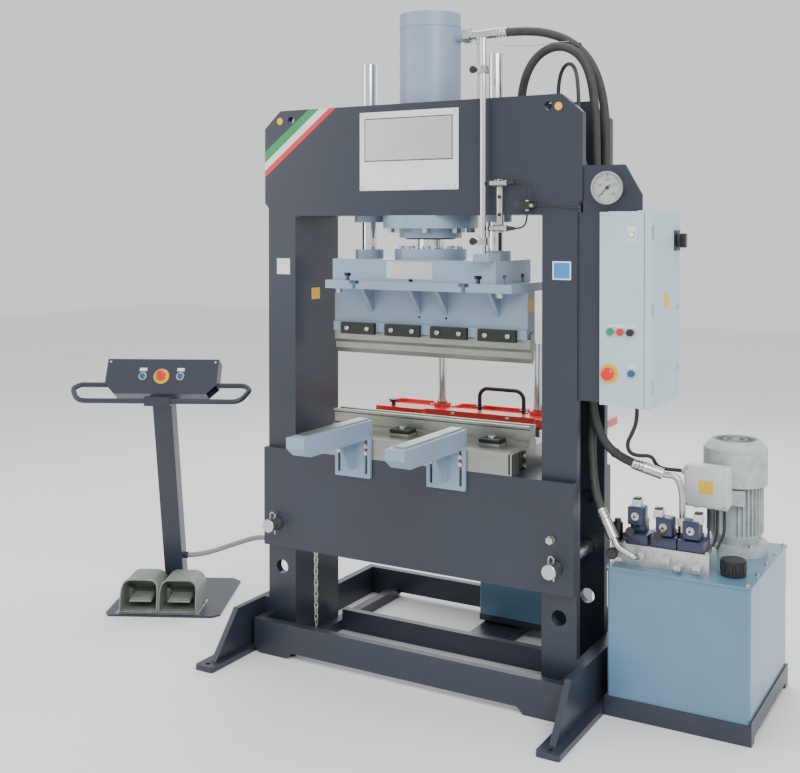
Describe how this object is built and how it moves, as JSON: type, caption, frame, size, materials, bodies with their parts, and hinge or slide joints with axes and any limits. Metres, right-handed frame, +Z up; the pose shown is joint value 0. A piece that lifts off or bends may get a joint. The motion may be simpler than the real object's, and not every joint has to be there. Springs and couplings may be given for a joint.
{
  "type": "hydraulic press",
  "caption": "H-frame hydraulic bending press with guided ram, pinned bed, back gauge, oil power unit, control cabinet and free-standing two-pedal console.",
  "frame": {"origin": "on the floor at the centre of the four anchor holes, under the cylinder axis", "axes": "+X to the operator's right, +Y to the back, +Z up"},
  "size_m": [2.7747, 1.207, 2.365],
  "materials": {
    "frame_paint": "satin dark slate enamel",
    "light_paint": "satin light blue enamel",
    "tank_paint": "gloss blue enamel",
    "cabinet_paint": "fine textured pale grey enamel",
    "motor_paint": "satin grey enamel",
    "red_paint": "gloss red enamel",
    "pedal_paint": "grey-green enamel",
    "ground_steel": "ground and oiled",
    "bright_steel": "zinc plated",
    "chrome_bar": "polished",
    "black_steel": "blackened",
    "black_plastic": "moulded",
    "hose_rubber": "wrapped cover",
    "cable_sheath": "smooth",
    "conduit_sheath": "ribbed",
    "box_plastic": "moulded grey",
    "manifold_metal": "machined",
    "green_plastic": "moulded",
    "red_plastic": "moulded",
    "blue_plastic": "moulded",
    "valve_body": "satin",
    "gauge_steel": "polished rim"
  },
  "bodies": {
    "frame": {"press_frame": "frame_paint", "base_frame": "frame_paint", "cylinder_barrel": "light_paint", "rod_gland": "light_paint", "frame_bolts": "bright_steel", "guide_bushes": "light_paint", "bed": "frame_paint", "bed_pins": "bright_steel", "die_bolster": "ground_steel", "v_die": "ground_steel", "die_clamps": "black_steel", "support_arms": "light_paint", "gauge_columns": "chrome_bar", "position_sensors": "bright_steel", "cabinet_case": "cabinet_paint", "gauge_bracket": "frame_paint", "gauge_case": "gauge_steel", "oil_tanks": "tank_paint", "tank_lid": "tank_paint", "pump": "manifold_metal", "manifold_block": "manifold_metal", "valve_bank": "valve_body", "electric_motor": "motor_paint", "fan_cowl": "motor_paint", "terminal_box": "box_plastic", "console_stand": "frame_paint", "console_head": "frame_paint", "pedal_guards": "pedal_paint", "hose_fittings": "bright_steel", "pressure_hose": "hose_rubber", "return_hose": "hose_rubber", "gauge_line": "hose_rubber", "power_cable": "cable_sheath", "conduit": "conduit_sheath", "control_leads": "cable_sheath"},
    "ram": {"piston_rod": "chrome_bar", "rod_collar": "light_paint", "ram_block": "light_paint", "guide_columns": "chrome_bar", "tool_plate": "light_paint", "punch_holder": "light_paint", "punch": "ground_steel", "punch_clamps": "black_steel"},
    "gauge_table": {"back_gauge_table": "red_paint", "gauge_handle": "black_plastic"},
    "door": {"cabinet_door": "cabinet_paint"},
    "isolator": {"main_switch": "black_plastic"},
    "green_push": {"green_button": "green_plastic"},
    "red_push": {"red_button": "red_plastic"},
    "selector": {"mode_selector": "black_plastic"},
    "reset_push": {"reset_button": "blue_plastic"},
    "cabinet_stop": {"emergency_button": "red_plastic"},
    "needle": {"gauge_needle": "black_steel"},
    "rotor": {"motor_rotor": "bright_steel"},
    "breather": {"filler_cap": "black_plastic"},
    "left_push": {"left_console_button": "blue_plastic"},
    "right_push": {"right_console_button": "blue_plastic"},
    "console_stop_head": {"console_stop": "red_plastic"},
    "left_treadle": {"left_pedal": "pedal_paint"},
    "right_treadle": {"right_pedal": "pedal_paint"}
  },
  "joints": [
    {"name": "ram_stroke", "type": "slide", "parent": "frame", "child": "ram", "axis": [0, 0, -1], "range_m": [0, 0.21]},
    {"name": "gauge_table_lift", "type": "slide", "parent": "frame", "child": "gauge_table", "axis": [0, 0, 1], "range_m": [-0.03, 0.24]},
    {"name": "door_swing", "type": "hinge", "parent": "frame", "child": "door", "pos_m": [0.872, -0.1575, 1.3], "axis": [0, 0, -1], "range_deg": [0, 110]},
    {"name": "isolator_turn", "type": "hinge", "parent": "door", "child": "isolator", "pos_m": [0.9, 0.108, 1.552], "axis": [1, 0, 0], "range_deg": [-90, 0]},
    {"name": "green_press", "type": "slide", "parent": "frame", "child": "green_push", "axis": [0, 1, 0], "range_m": [0, 0.004], "stiffness_N_per_m": 800, "springref_m": -0.002},
    {"name": "red_press", "type": "slide", "parent": "frame", "child": "red_push", "axis": [0, 1, 0], "range_m": [0, 0.004], "stiffness_N_per_m": 800, "springref_m": -0.002},
    {"name": "selector_turn", "type": "hinge", "parent": "frame", "child": "selector", "pos_m": [0.809, -0.165, 1.262], "axis": [0, 1, 0], "range_deg": [0, 90]},
    {"name": "reset_press", "type": "slide", "parent": "frame", "child": "reset_push", "axis": [0, 1, 0], "range_m": [0, 0.004], "stiffness_N_per_m": 800, "springref_m": -0.002},
    {"name": "cabinet_stop_press", "type": "slide", "parent": "frame", "child": "cabinet_stop", "axis": [0, 1, 0], "range_m": [0, 0.006]},
    {"name": "needle_swing", "type": "hinge", "parent": "frame", "child": "needle", "pos_m": [0.735, -0.172, 1.722], "axis": [0, 1, 0], "range_deg": [0, 270], "stiffness_Nm_per_rad": 0.0005},
    {"name": "rotor_spin", "type": "hinge", "parent": "frame", "child": "rotor", "pos_m": [1.03, 0.2885, 0.6], "axis": [0, 0, 1], "continuous": true},
    {"name": "breather_turn", "type": "hinge", "parent": "frame", "child": "breather", "pos_m": [1.093, 0.0035, 0.52], "axis": [0, 0, 1], "continuous": true},
    {"name": "left_console_press", "type": "slide", "parent": "frame", "child": "left_push", "axis": [-0.4008, 0.7867, -0.4695], "range_m": [0, 0.004], "stiffness_N_per_m": 800, "springref_m": -0.002},
    {"name": "right_console_press", "type": "slide", "parent": "frame", "child": "right_push", "axis": [-0.4008, 0.7867, -0.4695], "range_m": [0, 0.004], "stiffness_N_per_m": 800, "springref_m": -0.002},
    {"name": "console_stop_press", "type": "slide", "parent": "frame", "child": "console_stop_head", "axis": [-0.4008, 0.7867, -0.4695], "range_m": [0, 0.006]},
    {"name": "left_pedal_press", "type": "hinge", "parent": "frame", "child": "left_treadle", "pos_m": [-1.25563, 0.01186, 0.054], "axis": [0.891, 0.454, 0], "range_deg": [0, 8], "stiffness_Nm_per_rad": 60, "springref_deg": -8.59},
    {"name": "right_pedal_press", "type": "hinge", "parent": "frame", "child": "right_treadle", "pos_m": [-1.25563, 0.01186, 0.054], "axis": [0.891, 0.454, 0], "range_deg": [0, 8], "stiffness_Nm_per_rad": 60, "springref_deg": -8.59}
  ]
}
